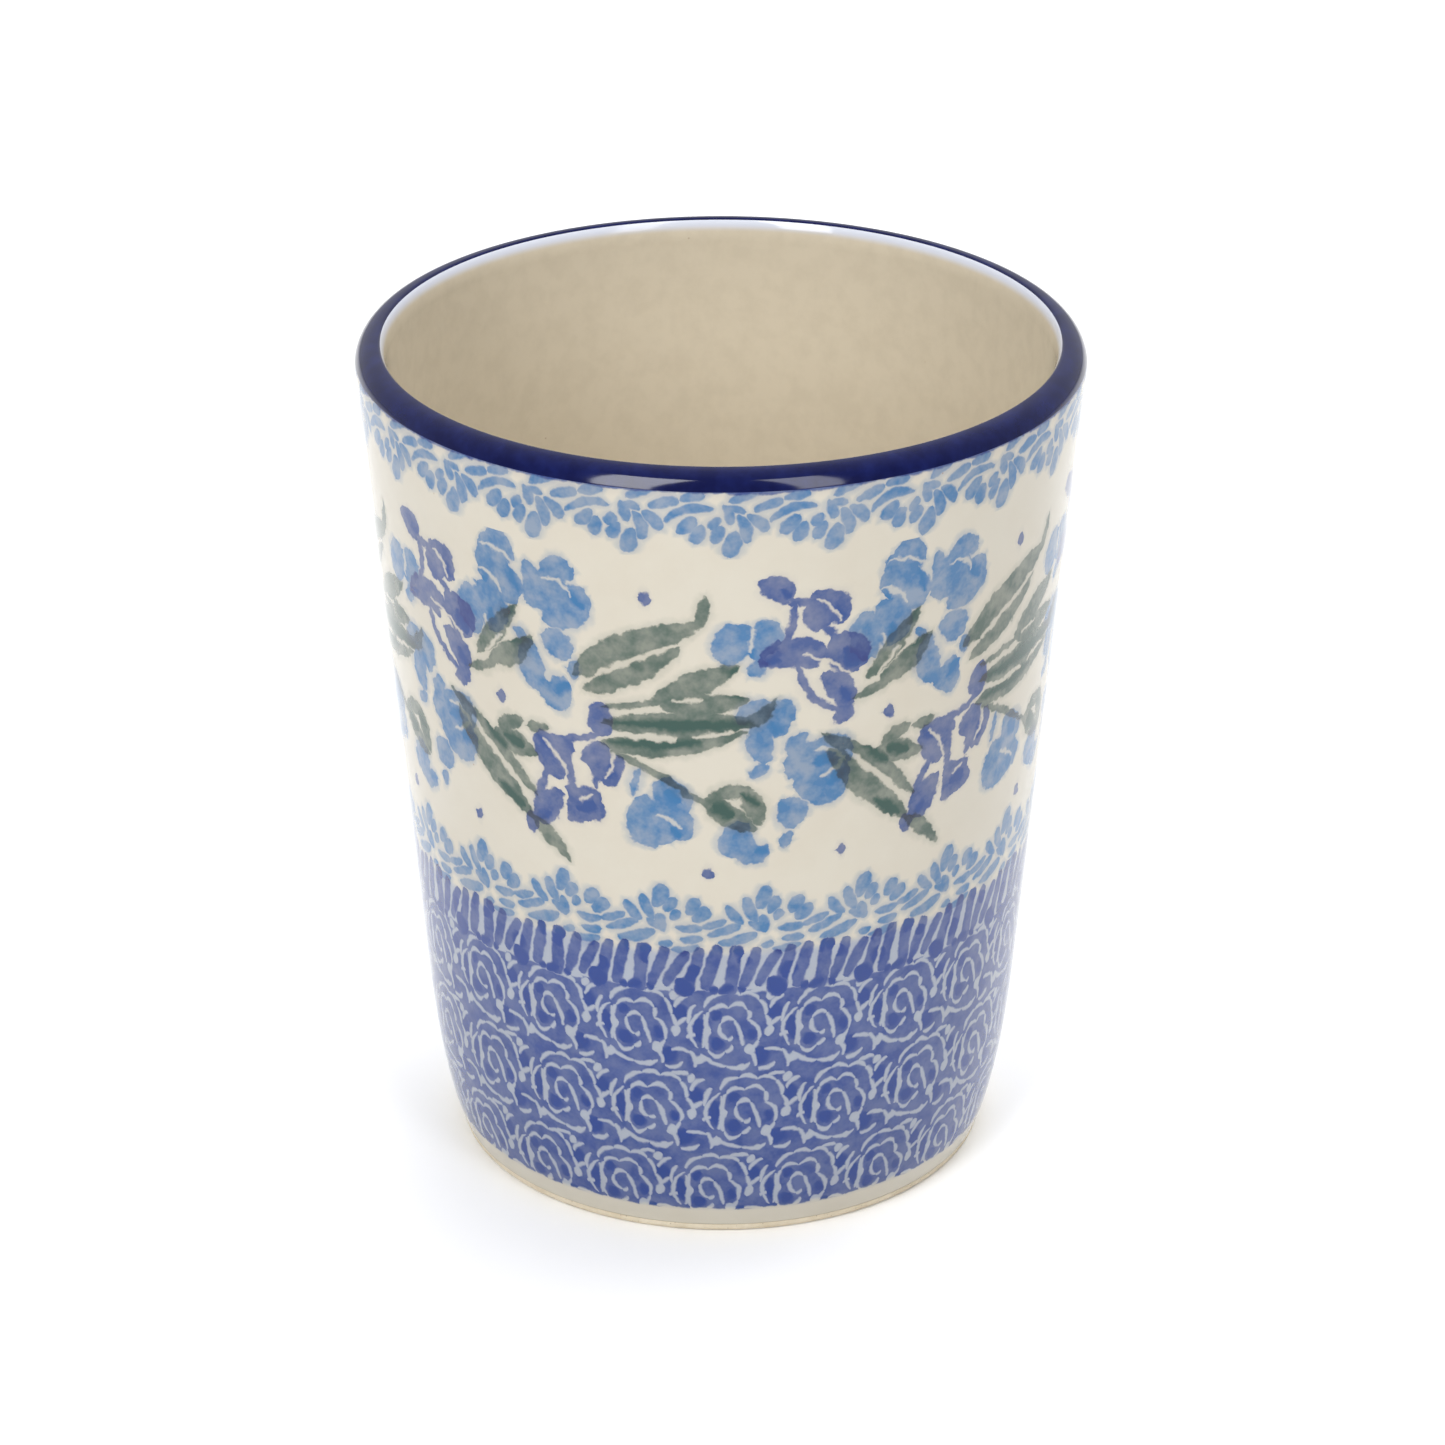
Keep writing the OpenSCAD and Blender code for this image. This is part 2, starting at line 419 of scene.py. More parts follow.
def glazedMaterial(name, decorate, fray=glaze["raggedReach"]):
    # clear gloss stoneware glaze: a hard wet sheen over pigment that has sunk softly into the clay
    material = bpy.data.materials.new(name)
    material.use_nodes = True
    tree = material.node_tree
    tree.nodes.clear()
    place = wire(tree, "TexCoord").outputs["Object"]
    wall = wire(tree, "VectorMath", place, (1000, -1000, 1000), operation="MULTIPLY")
    x, y, z = wire(tree, "SeparateXYZ", wall).outputs
    turn = wire(tree, "Math", x, y, operation="ARCTAN2")
    across = wire(tree, "Math", turn, unrollRadius, operation="MULTIPLY")
    up = wire(tree, "Math", z, stampLine, operation="SUBTRACT")
    flat = wire(tree, "CombineXYZ", across, up, 0)
    wander = wire(tree, "TexNoise", named={"Vector": wall, "Scale": glaze["wander"], "Detail": 4,
                                           "Roughness": 0.55})
    reach = glaze["wanderReach"]
    flat = wire(tree, "VectorMath", wander.outputs["Color"], (reach, reach, 0), flat,
                operation="MULTIPLY_ADD")
    ragged = wire(tree, "TexNoise", named={"Vector": wall, "Scale": glaze["ragged"], "Detail": 3})
    flat = wire(tree, "VectorMath", ragged.outputs["Color"], (fray, fray, 0), flat,
                operation="MULTIPLY_ADD")
    middle = (reach + fray) / 2
    flat = wire(tree, "VectorMath", flat, (middle, middle, 0), operation="SUBTRACT")
    tone = wire(tree, "TexNoise", named={"Vector": wall, "Scale": 0.42, "Detail": 3, "Roughness": 0.6})
    mottle = wire(tree, "TexNoise", named={"Vector": wall, "Scale": glaze["mottle"], "Detail": 5,
                                           "Roughness": 0.6})
    mottle = wire(tree, "MapRange", mottle, 0.4, 0.7, 0, 1)
    ground = wire(tree, "Mix", mottle, linear(glaze["cream"]), linear(glaze["creamDull"]), data_type="RGBA")
    colour = decorate(tree, flat, ground, tone)
    cells = wire(tree, "TexVoronoi", named={"Vector": wall, "Scale": glaze["speckCell"]})
    speckEdge = glaze["speckSize"] * glaze["speckCell"]
    speck = wire(tree, "MapRange", cells.outputs["Distance"], speckEdge, 0, 0, 0.7)
    chance = wire(tree, "SeparateColor", cells.outputs["Color"]).outputs[0]
    chance = wire(tree, "Math", chance, 0.8, operation="GREATER_THAN")
    speck = wire(tree, "Math", speck, chance, operation="MULTIPLY")
    colour = wire(tree, "Mix", speck, colour, linear(glaze["speck"]), data_type="RGBA")
    wave = wire(tree, "TexNoise", named={"Vector": wall, "Scale": glaze["wave"], "Detail": 1})
    bump = wire(tree, "Bump", named={"Strength": 1, "Distance": glaze["waveHeight"], "Height": wave})
    surface = wire(tree, "BsdfPrincipled", named={
        "Base Color": colour.outputs[2], "Roughness": glaze["roughness"], "IOR": 1.5,
        "Normal": bump})
    wire(tree, "OutputMaterial", surface)
    return material


def plainGlaze(tree, flat, ground, tone):
    # nothing stamped: the buff clay shows through the gloss
    return ground


def insideWallPaintedLight(tree, flat, ground, tone):
    # the same gloss inside, with painted light: its cream is lighter and warmer than the outside's,
    # standing in for light bouncing inside the cup; and a pale blue halo where the rim's cobalt ran into it
    z = wire(tree, "SeparateXYZ", wire(tree, "TexCoord").outputs["Object"]).outputs[2]
    patch = wire(tree, "MapRange", tone, 0.4, 0.65, 0, 1)
    # painted bounce light: lighter, warmer copies of the cream, mixed by the random tone
    colour = wire(tree, "Mix", patch, linear(glaze["inside"]), linear(glaze["insideDullPaintedLight"]),
                  data_type="RGBA")
    halo = wire(tree, "MapRange", z, height - glaze["haloFrom"], height - glaze["haloTo"], 0,
                glaze["haloShare"], interpolation_type="SMOOTHSTEP")
    return wire(tree, "Mix", halo, colour, linear(glaze["halo"]), data_type="RGBA")


# the upper garland: sprays of light blue stamps that hang from the rim
upperSpray = {
    "count": 23,
    "swell": 1.24,
    "petals": [
        (1.4, 88.4, 0.6, 85.4, 1.35, 0.12), (1.7, 90.3, 2.5, 87.0, 1.0, 0.3),
        (2.5, 90.4, 4.4, 88.3, 1.0, 0.25), (0.1, 88.9, -0.8, 86.9, 0.95, -0.05),
        (-0.2, 89.9, -1.1, 88.4, 0.8, 0), (-1.9, 89.1, -2.6, 86.9, 1.1, 0),
        (-2.5, 89.9, -4.3, 88.0, 1.15, 0.1), (-5.4, 89.3, -0.7, 90.8, 0.75, 0.75),
        (-6.9, 90.9, -4.0, 91.8, 0.85, 0.05), (-3.9, 91.9, -1.4, 92.4, 0.85, 0.05),
        (0.9, 91.8, 4.2, 93.4, 0.95, 0.15), (0.4, 91.4, 0.9, 89.1, 0.8, 0.1),
        (0.5, 91.1, 2.3, 90.7, 0.65, 0.1)],
}


def upperGarland(tree, flat, ground, tone):
    cells = repeats(tree, flat, around / upperSpray["count"])
    petals = draw(tree, cells, upperSpray["petals"], "petal", upperSpray["swell"])
    colour = stamp(tree, ground, tone, "sky", petals)
    # the cobalt of the rim runs a little over its edge
    up = wire(tree, "SeparateXYZ", flat).outputs[1]
    run = wire(tree, "Math", upperHigh.z / mm - stampLine - 0.1, up, operation="SUBTRACT")
    return stamp(tree, colour, tone, "cobalt", run)


# the lower garland: the same family of stamps, pointing up
lowerSpray = {
    "count": 20,
    "swell": 1.2,
    "petals": [
        (4.1, 42.5, 5.3, 45.5, 1.35, -0.1), (4.0, 41.0, 2.7, 44.0, 1.0, 0.15),
        (5.3, 42.0, 6.4, 43.9, 1.1, 0), (6.0, 41.1, 6.8, 42.3, 0.85, 0),
        (2.6, 40.8, 0.6, 43.0, 0.95, 0.15), (7.7, 41.8, 9.0, 43.8, 1.25, 0),
        (8.4, 41.0, 10.3, 42.6, 1.3, 0), (6.4, 40.1, 9.4, 40.2, 0.8, -0.15),
        (9.2, 40.2, 12.3, 41.2, 0.75, -0.1), (10.0, 39.2, 13.9, 40.7, 0.8, -0.1),
        (6.9, 38.6, 9.4, 38.8, 0.8, -0.1), (-0.3, 38.2, 4.2, 39.5, 1.0, -0.2),
        (4.6, 37.8, 6.0, 38.1, 0.65, 0), (5.8, 37.3, 9.2, 37.8, 0.7, -0.2),
        (5.1, 39.6, 4.5, 41.8, 0.95, 0), (3.2, 41.0, 5.0, 39.9, 0.7, 0)],
}


# the stroke row: one stamp of five leaning strokes
strokeRow = {
    "count": 22,
    "swell": 1.05,
    "footSwell": 1.2,
    "strokes": [
        (1.1, 31.6, 1.6, 37.9, 1.45, 0.0), (2.5, 32.6, 4.2, 37.6, 1.3, -0.1),
        (4.2, 32.6, 6.7, 37.1, 1.2, 0.1), (6.6, 32.2, 8.2, 37.7, 1.3, -0.1),
        (8.7, 32.2, 10.2, 38.0, 1.35, 0.0)],
    "feet": [
        (-0.4, 32.0, 1.4, 32.7, 1.0, 0), (5.6, 33.6, 7.2, 31.6, 1.9, 0), (9.2, 32.2, 10.2, 32.3, 0.8, 0),
        (1.3, 37.4, 2.6, 36.9, 1.2, 0), (2.0, 32.6, 2.8, 32.0, 0.7, 0)],
}


# the rose field: a sponge stamp that leaves thin pale lines in the colour
rose = {
    "wash": "#cfdeff",        # pigment that the wet stamp left all over its ground
    "top": 32.1,
    "rowPitch": 10.8,
    "firstRow": 5.4,
    "count": 20,
    "bottom": 2.75,
    "lineSwell": 1.38,
    "patchSwell": 1.3,
    "deepSwell": 1.6,
    "lines": [
        (-0.3, -1.1, -1.2, 1.0, 0.5, 0.5), (-1.2, 1.0, 0.6, 1.3, 0.5, 0.5),
        (0.6, 1.3, 1.8, -2.0, 0.5, 0.15), (-0.3, -1.1, 0.5, -0.8, 0.45, -0.15),
        (-2.6, -0.1, -2.5, 2.5, 0.5, 0.35), (-2.5, 2.5, -0.2, 3.0, 0.5, 0.5),
        (-0.2, 3.0, 2.3, 2.7, 0.5, 0.7), (2.3, 2.7, 2.4, 1.4, 0.5, 0.15), (2.4, 1.4, 3.7, -1.4, 0.5, 0.6),
        (3.7, -1.4, 2.2, -2.3, 0.5, 0.35), (-2.5, -0.2, -2.7, -2.4, 0.5, -0.4),
        (-2.7, -2.4, -0.5, -2.7, 0.5, -0.75), (-0.5, -2.7, 0.5, -1.9, 0.5, -0.15),
        (-3.2, 2.6, -3.9, -2.3, 0.5, -1.3), (-3.1, 2.2, -3.3, -2.2, 0.5, 0.25),
        (-3.2, 3.0, -0.9, 4.8, 0.5, 0.45), (-0.9, 4.8, 1.3, 4.6, 0.5, 0.35),
        (1.3, 4.6, 3.7, 4.0, 0.5, 0.5), (3.7, 4.0, 4.5, 2.0, 0.5, 0.2), (4.5, 2.0, 5.2, -0.2, 0.5, 0.2),
        (-3.6, -3.1, -0.4, -4.6, 0.5, -0.4), (-0.4, -4.6, 2.7, -4.2, 0.5, -0.4),
        (2.4, -2.6, 3.3, -4.6, 0.5, 0.3), (4.4, -2.6, 6.8, -2.9, 0.45, 0.2), (5.0, 0.6, 6.4, 1.6, 0.5, 0),
        (4.9, 2.9, 6.6, 4.4, 0.5, 0.3), (-5.0, 0.9, -4.2, 3.4, 0.5, 0.3),
        (3.6, -4.9, 5.9, -4.3, 0.5, -0.3), (-4.9, -2.6, -4.2, -5.0, 0.5, 0.3),
        (2.6, 5.0, 4.7, 5.1, 0.5, 0.1), (-5.3, -0.9, -4.2, -0.6, 0.5, 0.1)],
    "patches": [
        (2.0, -2.9, 3.2, -2.1, 1.2, 0), (-3.2, -0.1, -2.3, 0.1, 0.9, 0), (4.8, -0.9, 5.2, 0.5, 1.0, 0),
        (4.6, 3.9, 5.4, 5.0, 0.9, 0), (-4.2, -4.3, -3.0, -3.4, 0.9, 0), (1.0, -4.9, 2.0, -4.5, 0.7, 0)],
    "deep": [
        (-3.6, -1.6, -3.9, 1.6, 1.0, 0), (-2.0, 1.4, -1.2, 2.6, 0.9, 0), (-1.9, -2.4, -1.2, -1.0, 1.2, 0),
        (3.4, -4.4, 4.6, -2.4, 1.4, 0), (5.2, 3.4, 6.0, 1.4, 1.2, 0), (2.5, 0.2, 3.2, -1.2, 0.8, 0)],
}


def lowerWall(tree, flat, ground, tone):
    # the three lower bands were stamped over one another's edges, so each of them shows all three
    across, up, _ = wire(tree, "SeparateXYZ", flat).outputs
    row = wire(tree, "Math", up, 1 / rose["rowPitch"], -rose["firstRow"] / rose["rowPitch"],
               operation="MULTIPLY_ADD")
    row = wire(tree, "Math", row, operation="ROUND")
    rise = wire(tree, "Math", row, -rose["rowPitch"], up, operation="MULTIPLY_ADD")
    rise = wire(tree, "Math", rise, rose["firstRow"], operation="SUBTRACT")
    # each row starts elsewhere: at -1.4, 3 and 1 from the front, and the top row holds one more
    shift = wire(tree, "Math", row, -3.2, 7.6, operation="MULTIPLY_ADD")
    shift = wire(tree, "Math", row, shift, -1.4, operation="MULTIPLY_ADD")
    crowd = wire(tree, "MapRange", row, 1, 2, 1, 1 + 1 / rose["count"])
    turned = wire(tree, "Math", across, crowd, operation="MULTIPLY")
    turned = wire(tree, "Math", turned, shift, operation="SUBTRACT")
    rosesHere = repeats(tree, wire(tree, "CombineXYZ", turned, rise, 0), around / rose["count"])
    lines = draw(tree, rosesHere, rose["lines"], "line", rose["lineSwell"])
    patches = draw(tree, rosesHere, rose["patches"], "petal", rose["patchSwell"])
    pale = wire(tree, "Math", lines, patches, 0.35, operation="SMOOTH_MIN")
    field = wire(tree, "Math", pale, -1, operation="MULTIPLY")
    under = wire(tree, "Math", rose["bottom"], up, operation="SUBTRACT")
    over = wire(tree, "Math", up, rose["top"], operation="SUBTRACT")
    field = wire(tree, "Math", field, over, operation="MAXIMUM")
    cells = repeats(tree, flat, around / strokeRow["count"])
    strokes = draw(tree, cells, strokeRow["strokes"], "line", strokeRow["swell"])
    feet = draw(tree, cells, strokeRow["feet"], "petal", strokeRow["footSwell"])
    strokes = wire(tree, "Math", strokes, feet, 0.5, operation="SMOOTH_MIN")
    shape = wire(tree, "Math", field, strokes, operation="MINIMUM")
    shape = wire(tree, "Math", shape, under, operation="MAXIMUM")
    wash = wire(tree, "MapRange", up, 37.6, 36.4, 0, 1, interpolation_type="SMOOTHSTEP")
    edge = wire(tree, "MapRange", under, 0.3, -0.5, 0, 1, interpolation_type="SMOOTHSTEP")
    wash = wire(tree, "Math", wash, edge, operation="MULTIPLY")
    ground = wire(tree, "Mix", wash, ground, linear(rose["wash"]), data_type="RGBA", blend_type="MULTIPLY")
    cells = repeats(tree, flat, around / lowerSpray["count"])
    petals = draw(tree, cells, lowerSpray["petals"], "petal", lowerSpray["swell"])
    colour = stamp(tree, ground, tone, "sky", petals)
    deep = draw(tree, rosesHere, rose["deep"], "petal", rose["deepSwell"])
    deep = wire(tree, "Math", deep, feet, operation="MINIMUM")
    return stamp(tree, colour, tone, "cobalt", shape, deep)


# the frieze: two violet blue irises, two light blue ones, a bud, leaves and dots
frieze = {
    "period": 43.2,
    "last": 2,
    "fray": 1.15,             # these large stamps tore more at their edges
    "skySwell": 1.34,
    "skyJoin": 0.6,
    "leafSwell": 1.15,
    "cobaltSwell": 1.24,
    "cobaltJoin": 0.5,
    "skyPetals": [
        # twin petals beside the upper iris
        (0.3, 72.6, 2.4, 77.4, 2.9, 0.2), (3.3, 73.2, 5.3, 77.6, 2.5, 0), (2.9, 71.0, 4.4, 73.0, 1.1, 0),
        # upper light blue iris
        (16.9, 83.0, 21.4, 82.0, 2.3, 1.4), (16.5, 79.4, 20.6, 81.4, 3.6, 0.3),
        (17.2, 80.6, 21.8, 77.4, 3.0, 0.4), (15.0, 77.6, 15.4, 71.6, 2.4, -0.4),
        (16.6, 78.4, 18.4, 72.7, 3.0, 0.6), (22.9, 82.6, 23.3, 79.4, 1.1, 0),
        (24.4, 81.4, 28.4, 82.0, 2.0, 0.6), (22.5, 77.6, 27.3, 80.8, 3.4, 0.2),
        (24.8, 75.4, 29.3, 80.3, 3.0, -0.5), (24.4, 74.4, 27.2, 71.8, 2.4, 0.2),
        (22.3, 73.0, 23.6, 67.0, 2.2, -0.3), (23.2, 67.2, 27.0, 68.6, 2.9, -1.0),
        (20.9, 73.9, 22.2, 73.2, 0.8, 0), (26.8, 70.6, 28.2, 70.4, 1.5, 0),
        # lower light blue iris
        (1.5, 65.8, 5.4, 67.4, 2.0, 0.3), (4.0, 67.6, 7.4, 64.9, 1.7, 0.9),
        (4.4, 66.4, 4.6, 60.6, 2.0, -0.5), (4.9, 67.0, 6.4, 63.7, 1.5, 0.3),
        (8.9, 63.9, 7.2, 61.2, 1.4, -0.2), (3.1, 59.0, 5.0, 60.4, 0.9, 0),
        (10.0, 62.4, 14.1, 60.2, 2.0, 0.7), (6.4, 59.6, 12.6, 60.6, 3.4, 0.2),
        (7.6, 57.6, 14.0, 58.8, 3.7, -0.9), (6.7, 56.0, 8.2, 52.6, 2.5, 0.2),
        (6.5, 51.2, 7.9, 51.0, 1.4, 0), (2.2, 53.6, 1.8, 48.8, 2.8, -0.3),
        (1.4, 49.4, 5.3, 50.0, 1.5, -0.4),
        # bud
        (-6.6, 58.4, -4.2, 54.0, 3.0, 0.2), (-8.9, 56.0, -5.4, 50.6, 3.8, -0.9),
        (-5.0, 55.2, -4.4, 51.0, 2.2, 0.3), (-9.4, 56.2, -8.8, 59.6, 0.5, 0)],
    "skyDeep": [
        (20.6, 81.4, 21.6, 78.4, 1.0, 0), (17.0, 78.9, 17.8, 78.6, 1.0, 0),
        (17.8, 75.6, 18.2, 73.2, 1.2, 0), (25.4, 67.0, 27.0, 68.8, 1.4, 0),
        (27.4, 80.0, 29.0, 78.0, 1.2, 0), (11.4, 57.4, 13.8, 59.0, 1.6, 0),
        (9.6, 60.0, 12.2, 60.6, 1.4, 0), (5.0, 65.6, 6.0, 63.8, 1.0, 0), (3.6, 49.6, 5.2, 50.0, 1.0, 0),
        (-6.0, 57.2, -4.4, 55.6, 1.6, 0), (-5.4, 52.6, -4.4, 51.2, 1.4, 0),
        (2.4, 73.0, 3.4, 74.4, 1.0, 0)],
    "skyVeins": [
        (16.4, 79.9, 19.4, 77.8, 0.4, 0.6), (17.2, 82.9, 21.8, 80.9, 0.35, 0.8),
        (17.0, 74.4, 17.4, 72.6, 0.4, 0), (24.6, 80.8, 27.8, 79.2, 0.35, 0.9),
        (9.8, 61.6, 13.4, 60.0, 0.4, 0.6), (10.6, 58.4, 13.2, 60.4, 0.4, -0.3),
        (-7.0, 54.2, -4.2, 52.4, 0.4, 0.2), (24.6, 68.4, 25.2, 70.4, 0.6, 0),
        (3.0, 74.0, 3.2, 77.0, 0.35, 0)],
    "cobaltPetals": [
        # upper iris
        (3.8, 82.2, 7.1, 80.0, 2.3, 0.3), (9.0, 80.6, 12.4, 76.6, 2.4, 1.0),
        (8.8, 79.6, 10.6, 76.2, 2.6, 0.2), (3.8, 72.6, 10.9, 73.6, 2.6, 0.6),
        (11.4, 75.2, 14.3, 70.6, 3.3, 0.5), (11.2, 74.4, 14.0, 72.0, 3.0, 0),
        (10.6, 71.0, 13.7, 66.6, 2.3, 0.3), (13.3, 67.6, 12.8, 64.6, 1.6, 0),
        (8.0, 73.2, 9.8, 71.6, 0.9, 0),
        # lower iris
        (-12.7, 67.3, -12.9, 63.0, 2.2, 0), (-20.5, 61.8, -17.6, 56.8, 2.8, 0.3),
        (-19.4, 61.4, -15.8, 60.4, 1.5, 0.2), (-12.4, 62.2, -13.9, 58.4, 2.9, 0),
        (-10.6, 61.0, -12.6, 56.8, 2.2, -0.3), (-17.2, 55.8, -13.2, 55.4, 2.4, -0.9),
        (-16.6, 55.2, -14.2, 52.4, 3.2, 0), (-15.6, 52.8, -13.2, 54.8, 2.6, 0),
        (-17.9, 55.4, -20.9, 50.6, 2.5, -0.2), (-22.7, 50.4, -21.0, 50.5, 1.9, 0),
        (-17.0, 51.8, -15.4, 52.8, 1.0, 0)],
    "cobaltLines": [
        (7.3, 80.2, 6.2, 74.6, 0.75, 0.5), (6.8, 79.4, 9.4, 79.4, 0.8, 0.4),
        (10.4, 76.5, 12.2, 74.8, 0.8, 0), (7.8, 72.4, 12.6, 66.0, 0.8, -1.1),
        (6.0, 75.0, 4.4, 73.2, 1.3, 0), (11.6, 65.5, 13.0, 64.7, 0.9, 0),
        (-20.2, 61.9, -12.8, 63.2, 0.8, -0.6), (-16.8, 61.0, -16.5, 55.8, 0.8, 0),
        (-13.5, 59.6, -13.7, 56.4, 0.8, 0), (-18.7, 58.0, -20.9, 51.8, 0.9, -0.7)],
    "cobaltDeep": [
        (12.6, 73.6, 14.2, 71.0, 1.6, 0), (5.8, 81.2, 7.0, 80.2, 1.0, 0), (12.4, 69.0, 13.6, 67.0, 1.2, 0),
        (3.9, 72.6, 6.0, 73.0, 1.0, 0), (-16.0, 53.4, -13.8, 54.4, 1.8, 0),
        (-20.4, 61.6, -19.0, 60.0, 0.9, 0), (-12.0, 59.6, -11.8, 57.6, 1.0, 0),
        (-20.8, 51.0, -19.4, 52.4, 1.2, 0), (11.8, 79.0, 12.4, 77.2, 0.9, 0)],
    "cobaltVeins": [
        (9.6, 79.8, 12.0, 76.8, 0.4, 0.5), (8.2, 73.4, 13.8, 70.0, 0.4, 0.6),
        (-19.6, 61.2, -17.0, 57.2, 0.4, 0.4), (-11.6, 61.8, -12.6, 57.6, 0.4, 0.5),
        (-15.8, 54.6, -14.2, 55.4, 0.35, 0)],
    "blades": [
        # fan of three leaves
        (-15.9, 70.0, -1.9, 77.6, 3.3, 0.3), (-14.6, 68.2, -4.0, 74.6, 2.2, -0.4),
        (-3.4, 76.0, -1.5, 80.9, 1.0, -0.5), (-7.0, 67.8, 1.9, 72.4, 2.5, 0.1),
        (-6.4, 67.4, 2.8, 68.4, 2.3, -0.2), (-12.6, 66.6, -5.0, 67.9, 0.6, 0),
        (-12.6, 64.8, 4.6, 65.8, 2.4, -0.1), (1.4, 65.2, 5.7, 68.4, 1.3, -0.7),
        (-12.8, 62.2, 2.6, 64.4, 2.4, -0.5),
        # stem and calyx of the bud and the lower light blue iris
        (-1.8, 56.4, 3.9, 52.4, 2.2, -0.2), (-1.4, 56.6, 3.6, 57.2, 1.5, 0.3),
        (2.2, 57.4, 4.2, 52.8, 1.9, 0.4),
        # pair of leaves between the lower irises
        (11.4, 61.6, 21.8, 50.8, 2.6, -0.3), (10.6, 63.4, 22.2, 53.8, 1.9, 0.6),
        (16.8, 60.4, 22.8, 59.0, 2.3, 0), (17.6, 61.0, 21.2, 62.8, 1.5, 0.2),
        (21.4, 62.2, 24.2, 62.7, 1.0, 0), (21.0, 51.4, 26.0, 46.6, 1.4, 0.3),
        # leaf behind the upper light blue iris
        (15.4, 69.4, 21.2, 76.8, 1.9, -0.2), (17.0, 68.9, 23.0, 73.4, 2.2, -0.5),
        (13.9, 67.2, 18.6, 69.4, 0.9, -0.2)],
    "stems": [(-11.6, 61.6, -1.0, 55.2, 0.75, 0.2), (18.4, 72.4, 20.4, 76.0, 1.0, 0)],
    "bladesDeep": [
        (-12.0, 65.0, 3.6, 65.4, 1.5, 0), (-12.0, 62.4, -2.0, 63.2, 1.3, 0),
        (1.0, 70.6, 1.8, 72.2, 1.4, 0), (0.6, 69.4, 2.4, 68.6, 1.0, 0), (-1.0, 55.6, 1.4, 54.2, 1.6, 0),
        (2.0, 57.0, 4.0, 55.4, 1.0, 0), (17.0, 54.4, 20.4, 51.8, 1.5, 0), (15.4, 61.6, 18.6, 58.6, 1.1, 0),
        (18.2, 60.4, 21.0, 59.6, 1.6, 0), (19.6, 72.2, 22.4, 73.0, 1.2, 0),
        (19.8, 74.8, 21.0, 76.6, 0.9, 0)],
    "bladeVeins": [
        (-13.2, 70.2, -4.4, 74.9, 0.7, 0.1), (-11.4, 63.5, -4.4, 63.6, 0.75, -0.05),
        (-3.0, 63.8, 1.4, 64.5, 0.5, 0), (13.4, 61.2, 21.4, 53.2, 0.75, 0.1),
        (-5.4, 68.0, -2.0, 68.3, 0.4, 0), (16.6, 69.8, 19.0, 72.6, 0.45, 0)],
    "dots": [
        (-8.3, 80.0, -7.1, 80.0, 1.35, 0), (17.7, 65.0, 18.9, 65.0, 1.35, 0),
        (-2.1, 47.0, -0.9, 47.0, 1.35, 0), (12.7, 48.9, 13.9, 48.9, 1.3, 0)],
}


def irisFrieze(tree, flat, ground, tone):
    cells = repeats(tree, flat, frieze["period"], frieze["last"])
    petals = draw(tree, cells, frieze["skyPetals"], "petal", frieze["skySwell"], frieze["skyJoin"])
    colour = stamp(tree, ground, tone, "sky", petals, draw(tree, cells, frieze["skyDeep"], "petal"),
                   draw(tree, cells, frieze["skyVeins"], "line"))
    blades = draw(tree, cells, frieze["blades"], "blade", frieze["leafSwell"])
    stems = draw(tree, cells, frieze["stems"], "line")
    colour = stamp(tree, colour, tone, "leaf", wire(tree, "Math", blades, stems, operation="MINIMUM"),
                   draw(tree, cells, frieze["bladesDeep"], "petal"),
                   draw(tree, cells, frieze["bladeVeins"], "line"))
    petals = draw(tree, cells, frieze["cobaltPetals"], "petal", frieze["cobaltSwell"], frieze["cobaltJoin"])
    lines = draw(tree, cells, frieze["cobaltLines"], "line")
    dots = draw(tree, cells, frieze["dots"], "petal")
    shape = wire(tree, "Math", petals, lines, 0.4, operation="SMOOTH_MIN")
    shape = wire(tree, "Math", shape, dots, operation="MINIMUM")
    return stamp(tree, colour, tone, "cobalt", shape, draw(tree, cells, frieze["cobaltDeep"], "petal"),
                 draw(tree, cells, frieze["cobaltVeins"], "line"))


rim = {
    "cobalt": "#0e133e",       # dense cobalt under the glaze, nearly black where it lies thick
    "thin": "#1f2966",
}


def rimCobalt(tree, flat, ground, tone):
    # cobalt brushed thickly on the lip: deep and wet, a little bluer where the brush ran thin
    thin = wire(tree, "MapRange", tone, 0.4, 0.75, 0, 0.4)
    return wire(tree, "Mix", thin, linear(rim["cobalt"]), linear(rim["thin"]), data_type="RGBA")


clay = {
    "colour": "#ded3be",
    "cloud": "#cdbfa4",
    "grog": "#7a5f45",
    "cloudScale": 0.3,        # clouds of colour a few millimetres across, per mm
    "grogScale": 1.6,         # crushed fired clay, a grain in every 0.6 mm
    "grainScale": 6,          # the sponged grain, per mm
    "grainHeight": 0.05 * mm,
    "roughness": 0.82,
}


